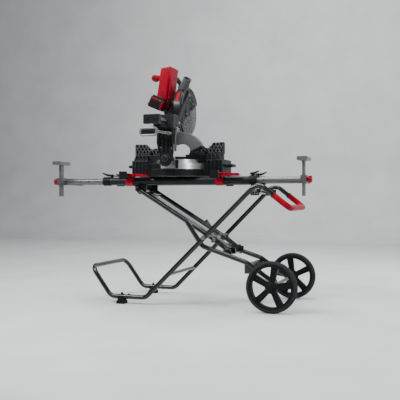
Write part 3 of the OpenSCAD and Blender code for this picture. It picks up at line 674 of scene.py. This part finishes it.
def make_motor():
    low, high = (Vector(v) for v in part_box("motor_housing"))
    shell = prism("motor_shell", "head", MATS["red_plastic"], MOTOR_SIDE, saw(0, high.y - 0.012, 0), X, Z,
                  high.y - low.y - 0.022, bevel=0.012, segments=5)
    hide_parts("motor_housing")
    face = low.y + 0.0135
    prism("motor_panel", "head", MATS["red_plastic"], MOTOR_PANEL, saw(0, face, 0), X, Z, 0.0075, 0.003,
          3)
    ridge = [(-0.0655, 1.300), (-0.0585, 1.300), (-0.0395, 1.440), (-0.0335, 1.502), (-0.0465, 1.507), (-0.0505, 1.440)]
    prism("motor_ridge", "head", MATS["red_plastic"], ridge, saw(0, high.y - 0.03, 0), X, Z, high.y - low.y - 0.034,
          0.004, 3)
    foot = [(-0.0785, 1.2245), (-0.1315, 1.2365), (-0.1435, 1.2640), (-0.0775, 1.2520)]
    prism("motor_foot", "head", MATS["black_plastic"], foot, saw(0, high.y - 0.006, 0), X, Z, high.y - low.y - 0.014,
          0.005, 3)
    slits = []
    for k in range(7):
        z = 1.352 + 0.0145 * k
        x = motor_edge(z)
        slits.append((saw(x - 0.006, low.y + 0.036, z), saw(x + 0.0105, high.y - 0.046, z + 0.0062)))
    boxes("motor_side_slots", "head", MATS["black_plastic"], slits, 0.001)
    vents = [(saw(-0.118 + 0.0015 * k, low.y + 0.0055, 1.300 + 0.011 * k),
              saw(-0.094 + 0.0015 * k, face, 1.3045 + 0.011 * k)) for k in range(5)]
    boxes("motor_rear_vents", "head", MATS["black_plastic"], vents, 0.0008)
    lathe("motor_cap", "head", MATS["black_plastic"], saw(-0.081, (low.y + high.y) / 2, 1.4975), (-0.08, 0, 1),
          disc_profile(0.036, 0.0115, 0.004, 0.0005), "black_plastic", steps=64)
    pod = saw(-0.1544, low.y + 0.034, 1.439)
    lathe("motor_pod", "head", MATS["red_plastic"], pod, -Y, disc_profile(0.0226, 0.038, 0.007, 0.0005), "red_plastic",
          steps=48)
    lathe("motor_pod_cap", "head", MATS["black_plastic"], pod - Y * 0.0375, -Y,
          disc_profile(0.010, 0.002, 0.001, 0.0005), "black_plastic", steps=32)
    boxes("motor_pod_web", "head", MATS["red_plastic"],
          [(saw(-0.156, low.y + 0.008, 1.422), saw(-0.112, low.y + 0.030, 1.456))], 0.004, segments=3)
    bolts("motor_screws", "head", [saw(x, face - 0.0072, z) for x, z in
                                   ((-0.092, 1.276), (-0.120, 1.292), (-0.112, 1.466), (-0.070, 1.470))],
          -Y, 0.0032, 0.0025, MATS["frame_paint"], washer=False)


def make_battery():
    tilt = Matrix.Rotation(math.radians(BATTERY_TILT), 3, "Y")
    about = saw(*BATTERY_AT)

    def part(name, mat, spans, bevel, segments=2):
        return boxes(name, "battery", MATS[mat], [(about + Vector(a), about + Vector(b)) for a, b in spans], bevel,
                     tilt, about, segments)

    pack = part("battery_case", "black_plastic", [((-0.0455, -0.0775, -0.0395), (0.0455, -0.0025, 0.0315))], 0.007, 4)
    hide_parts("battery")
    part("battery_shoe", "black_plastic", [((-0.038, -0.074, 0.030), (0.038, -0.006, 0.0415))], 0.003)
    part("battery_lid_band", "red_plastic", [((-0.036, -0.0788, 0.0165), (0.012, -0.070, 0.0262))], 0.0012)
    part("battery_side_bands", "red_plastic", [((0.0392, -0.0782, -0.034), (0.0468, -0.052, 0.0255)),
                                               ((-0.0468, -0.0782, -0.030), (-0.0392, -0.060, -0.012))], 0.0016, 3)
    part("battery_latches", "black_plastic", [((0.0450, -0.044, -0.010), (0.0478, -0.016, 0.014)),
                                              ((-0.0478, -0.044, -0.010), (-0.0450, -0.016, 0.014))], 0.0012)
    part("battery_ribs", "black_plastic", [((-0.028 + 0.012 * k, -0.0796, -0.032), (-0.0245 + 0.012 * k, -0.077, 0.010))
                                           for k in range(5)], 0.0009)
    part("battery_gauge", "grey_plastic", [((0.016, -0.0786, 0.0175), (0.034, -0.0770, 0.0245))], 0.0005)


# ---------------------------------------------------------------- saw's rear
def make_trunk_details():
    """Bevel scale and pivot, trunk plates and screws, bushing grid and the yoke's bolts."""
    pivot = saw(0, *BEVEL_PIVOT)
    lathe("bevel_scale", "bevel", MATS["casting"], pivot + Y * 0.0195, -Y,
          [(0.033, 0.0), (0.050, 0.0), (0.050, 0.003), (0.048, 0.0045), (0.035, 0.0045), (0.033, 0.003)], "casting",
          steps=48, start=-68, sweep=136, zero=-Z)
    lathe("bevel_scale_edge", "bevel", MATS["handle_grey"], pivot + Y * 0.0195, -Y,
          [(0.0478, 0.0042), (0.0503, 0.0026), (0.0506, 0.0036), (0.0481, 0.0052)], "handle_grey",
          steps=48, start=-66, sweep=132, zero=-Z)
    lathe("pivot_ring", "bevel", MATS["casting"], pivot + Y * 0.0195, -Y,
          [(0.0205, 0.0), (0.031, 0.0), (0.031, 0.006), (0.029, 0.008), (0.0225, 0.008), (0.0205, 0.006)], "casting",
          steps=48)
    bolts("pivot_nut", "table", [pivot], -Y, 0.0125, 0.012, MATS["casting"])
    plate = [(0.047, 0.948), (0.0585, 0.948), (0.061, 0.985), (0.070, 1.045), (0.080, 1.090), (0.050, 1.096),
             (0.047, 1.04)]
    prism("trunk_side_plate", "bevel", MATS["handle_grey"], plate, saw(0, -0.2215, 0), X, Z, 0.0345, 0.003,
          3)
    edge = [(-0.042, 0.920), (-0.036, 0.920), (-0.052, 1.000), (-0.051, 1.090), (-0.058, 1.090), (-0.060, 1.000)]
    prism("trunk_left_edge", "bevel", MATS["fence_cast"], edge, saw(0, -0.2425, 0), X, Z, 0.0155, 0.002)
    screws = [saw(x, -0.252, z) for x, z in ((-0.034, 0.972), (0.034, 0.966), (-0.043, 1.070), (0.044, 1.062))]
    bolts("trunk_screws", "bevel", screws, -Y, 0.0048, 0.005)
    lathe("turntable_rear_cover", "table", MATS["casting"], saw(0, 0, 0), Z,
          [(0.2003, 0.8445), (0.2065, 0.8445), (0.2080, 0.848), (0.2080, 0.894), (0.2065, 0.898), (0.1990, 0.898),
           (0.1990, 0.8803), (0.2003, 0.8803)], "casting", steps=24, start=-17, sweep=34, zero=-Y)
    spans = [(saw(-0.055, -0.2925, 1.094 + 0.0145 * k), saw(0.058, -0.2895, 1.1005 + 0.0145 * k)) for k in range(5)]
    boxes("bush_grid", "bevel", MATS["fence_cast"], spans, 0.0009)
    bolts("cap_screws", "sliding_head", [saw(x, -0.44, 1.127) for x in (-0.046, 0.014)], -Y, 0.0075, 0.005,
          MATS["frame_paint"])
    bolts("chop_nut", "sliding_head", [saw(-0.0965, *CHOP_PIVOT)], -X, 0.0105, 0.008)


def make_chip_chute():
    """Curved grey chute behind the blade, fixed to the trunk's right side."""
    centre = Vector((CHUTE_CENTRE[0], 0, CHUTE_CENTRE[1]))
    lathe("chip_chute", "bevel", MATS["grey_plastic"], centre, -Y,
          [(0.083, 0.166), (0.150, 0.166), (0.152, 0.168), (0.152, 0.222), (0.150, 0.224), (0.083, 0.224),
           (0.081, 0.222), (0.081, 0.168)], "grey_plastic", steps=48, start=25, sweep=88, zero=X)
    for k, radius in enumerate((0.094, 0.108, 0.122, 0.136)):
        lathe("chute_bead_%d" % k, "bevel", MATS["grey_plastic"], centre, -Y,
              [(radius - 0.0012, 0.2235), (radius + 0.0012, 0.2235), (radius + 0.0007, 0.2252),
               (radius - 0.0007, 0.2252)],
              "grey_plastic", steps=40, start=28, sweep=82, zero=X)
    lathe("chute_lip", "bevel", MATS["black_plastic"], centre, -Y,
          [(0.079, 0.164), (0.154, 0.164), (0.154, 0.226), (0.079, 0.226)], "black_plastic",
          steps=4, start=21.5, sweep=3.5, zero=X)


def make_handle_insert():
    """Dark plate in the bevel lever's loop."""
    loop = saw(-0.087, -0.316, 1.066)
    boxes("bevel_handle_insert", "bevel_lock", MATS["black_plastic"],
          [(loop + Vector((-0.0495, -0.0068, -0.0165)), loop + Vector((0.0455, 0.0068, 0.0165)))], 0.006,
          segments=4)


# ---------------------------------------------------------------- saw's guard link, base and fences
def make_guard_link():
    """Black link from the top of the guard down to the chop pivot."""
    link = [(0.062, 1.352), (0.040, 1.362), (-0.070, 1.262), (-0.166, 1.150), (-0.166, 1.112), (-0.136, 1.110),
            (-0.030, 1.226), (0.066, 1.318)]
    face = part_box("upper_guard")[1][0] + 0.0012
    prism("guard_link", "head", MATS["black_plastic"], link, (face, 0, 0), Y, Z, 0.0085, 0.003, 3)
    rib = [(0.050, 1.342), (0.044, 1.346), (-0.060, 1.252), (-0.146, 1.150), (-0.141, 1.146), (-0.052, 1.246)]
    prism("guard_link_rib", "head", MATS["fence_cast"], rib, (face + 0.0078, 0, 0), Y, Z, 0.0022, 0.0008)
    seat = face + 0.0085
    bolts("guard_link_bolts", "head", [(seat, 0.036, 1.330), (seat, -0.150, 1.130)], X, 0.0075, 0.006)
    pivot = saw(0.0095, *CHOP_PIVOT)
    lathe("chop_spacer", "sliding_head", MATS["casting"], pivot, X,
          [(0.0004, 0), (0.013, 0), (0.013, face - pivot.x - 0.001), (0.0004, face - pivot.x - 0.001)], "casting",
          steps=32)


def make_base_details():
    """Rear ribs, mitre scale with its marks, a dark band painted on the rim as shade, bolts and fence knobs."""
    ribs = []
    for side in (-1, 1):
        for x in (0.205, 0.231, 0.257, 0.283, 0.303):
            a, b = sorted((side * x, side * (x + 0.0042)))
            ribs.append((saw(a, -0.0785, 0.822), saw(b, -0.0735, 0.9015)))
        a, b = sorted((side * 0.198, side * 0.3095))
        ribs.append((saw(a, -0.0785, 0.896), saw(b, -0.0735, 0.9025)))
    boxes("base_rear_ribs", "carriage", MATS["fence_cast"], ribs, 0.0009)
    lathe("mitre_scale", "carriage", MATS["bare_cast"], saw(0, 0, 0), Z,
          [(0.2058, 0.822), (0.2068, 0.822), (0.2068, 0.838), (0.2058, 0.838)], "bare_cast", steps=60,
          start=-56, sweep=112, zero=Y)
    # Painted shade: a paper-thin dark band over the left part of the turntable's rim, where it lies in shade.
    lathe("rim_painted_shade_band", "table", MATS["casting"], saw(0, 0, 0), Z,
          [(RIM_R - 0.0001, 0.8425), (RIM_R + 0.00015, 0.8425), (RIM_R + 0.00015, 0.8795), (RIM_R - 0.0001, 0.8795)],
          "casting", steps=36, start=-84, sweep=95, zero=-Y)
    bm = bmesh.new()
    for k in range(23):
        a = math.radians(-55 + 5 * k)
        out = X * math.sin(a) + Y * math.cos(a)
        along = Z.cross(out)
        tall = 0.013 if k % 2 else 0.009
        prism_mesh(bm, [(-0.0005, 0), (0.0005, 0), (0.0005, tall), (-0.0005, tall)],
                   saw(0, 0, 0.8235) + out * 0.2066, -along, Z, 0.0005)
    mesh_object("mitre_scale_marks", bm, "carriage", MATS["black_plastic"])
    table_bolts = [saw(x, y, 0.9035) for x in (-0.29, 0.29) for y in (0.02, 0.095)]
    bolts("base_bolts", "carriage", table_bolts, Z, 0.0052, 0.004, washer=False)
    for which, body, side in (("left", "left_fence", -1), ("right", "right_fence", 1)):
        low, high = (Vector(v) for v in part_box("fence_" + which))
        knob = Vector(((low.x + high.x) / 2, low.y, low.z + 0.014))
        lathe("fence_knob_" + which, body, MATS["black_plastic"], knob, -Y, disc_profile(0.010, 0.014, 0.003, 0.0005),
              "black_plastic", steps=32)


def fence_height(x):
    """Height of an upper fence over its foot at x mm from the saw's centre plane."""
    for (x0, h0), (x1, h1) in zip(FENCE_TOP, FENCE_TOP[1:]):
        if x0 <= x <= x1:
            return h0 + (h1 - h0) * (x - x0) / (x1 - x0)
    return 0.0


def fence_point(side, x, height):
    """A fence place, given in mm from the saw's centre plane and over the fence's foot."""
    return Vector((side * x / 1000, 0, TABLE_TOP + height / 1000))


def make_fence_rib_highlights():
    """Painted highlights: light grey strips along the edges of the crossed ribs and along the outline, on the back of
    both upper fences.
    """
    for which, body, side in (("left", "left_fence", -1), ("right", "right_fence", 1)):
        bm = bmesh.new()
        for k in range(10):
            for lean in (-RIB_LEAN, RIB_LEAN):
                run_x, run_z = -math.sin(math.radians(lean)), math.cos(math.radians(lean))
                middle = RIB_FIRST + RIB_STEP * k
                inside = [t for t in range(-70, 71) if 76 <= middle + run_x * t <= 301
                          and 8 <= RIB_MIDDLE + run_z * t <= fence_height(middle + run_x * t) - 3]
                if len(inside) < 8:
                    continue
                ends = [fence_point(side, middle + run_x * t, RIB_MIDDLE + run_z * t) for t in (inside[0], inside[-1])]
                along = (ends[1] - ends[0]).normalized()
                across = along.cross(Y)
                length = (ends[1] - ends[0]).length
                prism_mesh(bm, [(0, -0.0011), (length, -0.0011), (length, 0.0011), (0, 0.0011)],
                           saw(0, FENCE_BACK, 0) + ends[0], along, across, 0.0012)
        outline = [(73, 1)] + FENCE_TOP + [(305, 1)]
        for (x0, h0), (x1, h1) in zip(outline, outline[1:]):
            a, b = fence_point(side, x0, h0), fence_point(side, x1, h1)
            along = (b - a).normalized()
            inward = Vector((side * 0.19, 0, 0.955)) - (a + b) / 2
            across = along.cross(Y)
            if across.dot(inward) < 0:
                across = -across
            length = (b - a).length
            prism_mesh(bm, [(0, 0.0003), (length, 0.0003), (length, 0.0025), (0, 0.0025)],
                       saw(0, FENCE_PLATE, 0) + a, along, across, -0.001 if along.cross(across).y > 0 else 0.001)
        # Light grey strips standing for the highlights on the rib edges.
        mesh_object("fence_rib_painted_highlights_" + which, bm, body, MATS["handle_grey"])


# ---------------------------------------------------------------- stand fittings
def make_stand_fittings():
    """Bolts, clamps, latches, grip collars and the leg's tab."""
    hinge_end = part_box("hinge_pin")[0][1]
    for side in (-1, 1):
        word = "near" if side < 0 else "far"
        out = Y * side
        bolts("hinge_bolt_" + word, "beam", [(RAIL_HINGE[0], -side * hinge_end, RAIL_HINGE[1])], out, 0.0095, 0.006,
              MATS["frame_paint"])
        pivot_end = -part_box("pivot_pins")[0][1]
        bolts("pivot_bolt_" + word, "inner_frame", [(LEG_CROSSING[0], side * pivot_end, LEG_CROSSING[1])], out,
              0.0085, 0.006)
        knuckle = [(x, side * 0.1312, z) for x, z in ((0.250, 0.405), (0.334, 0.344))]
        bolts("knuckle_bolts_" + word, "inner_frame", knuckle, out, 0.0085, 0.007)
        boxes("knuckle_clamp_" + word, "inner_frame", MATS["frame_paint"],
              [((0.232, side * 0.125 - 0.0062, 0.386), (0.268, side * 0.125 + 0.0062, 0.424)),
               ((0.316, side * 0.125 - 0.0062, 0.326), (0.352, side * 0.125 + 0.0062, 0.362))], 0.004,
              segments=3)
        boxes("stop_latch_" + word, "outer_frame", MATS["frame_paint"],
              [((0.504, side * 0.207 - 0.008, 0.676), (0.556, side * 0.207 + 0.008, 0.700)),
               ((0.540, side * 0.207 - 0.006, 0.692), (0.566, side * 0.207 + 0.006, 0.716))], 0.003)
        bolts("stop_latch_bolts_" + word, "outer_frame", [(x, side * 0.215, 0.688) for x in (0.516, 0.530, 0.545)], out,
              0.0042, 0.004)
        slope = Vector((0.1904, 0, -0.1497)).normalized()
        start = Vector((GRIP_START[0], side * GRIP_START[1], GRIP_START[2]))
        lathe("grip_collar_" + word, "outer_frame", MATS["black_plastic"], start - slope * 0.005, slope,
              [(0.0148, 0), (0.0186, 0), (0.0192, 0.002), (0.0192, 0.006), (0.0182, 0.008), (0.0148, 0.008)],
              "black_plastic", steps=40)
        bolts("foot_bolt_" + word, "outer_frame", [(FOOT_X, side * FOOT_Y, FOOT_TOP)], Z, 0.006, 0.006,
              MATS["frame_paint"])
    for x in (SAW_X - 0.303, SAW_X + 0.303):
        bolts("jaw_bolts_%s" % ("left" if x < 0 else "right"), "carriage",
              [(x + dx, -0.1398, 0.786) for dx in (-0.012, 0.012)], -Y, 0.0055, 0.005, MATS["frame_paint"])
    tab = [(0.0, 0.0), (0.030, 0.0), (0.024, 0.020), (0.006, 0.020)]
    slope = Vector((0.508, 0, -0.310)).normalized()
    up = Y.cross(slope) * -1
    place = Vector((0.150, 0.121, 0.466)) + up * 0.0145
    prism("leg_tab", "inner_frame", MATS["frame_paint"], tab, place, slope, up, 0.012, 0.002)


add_camera()
add_studio()
add_floor()
dress_cad()
make_wheel("near", -1)
make_wheel("far", 1)
make_tyre("near")
make_tyre("far")
make_guards()
make_guard_link()
make_motor()
make_battery()
make_trunk_details()
make_chip_chute()
make_handle_insert()
make_base_details()
make_fence_rib_highlights()
make_stand_fittings()
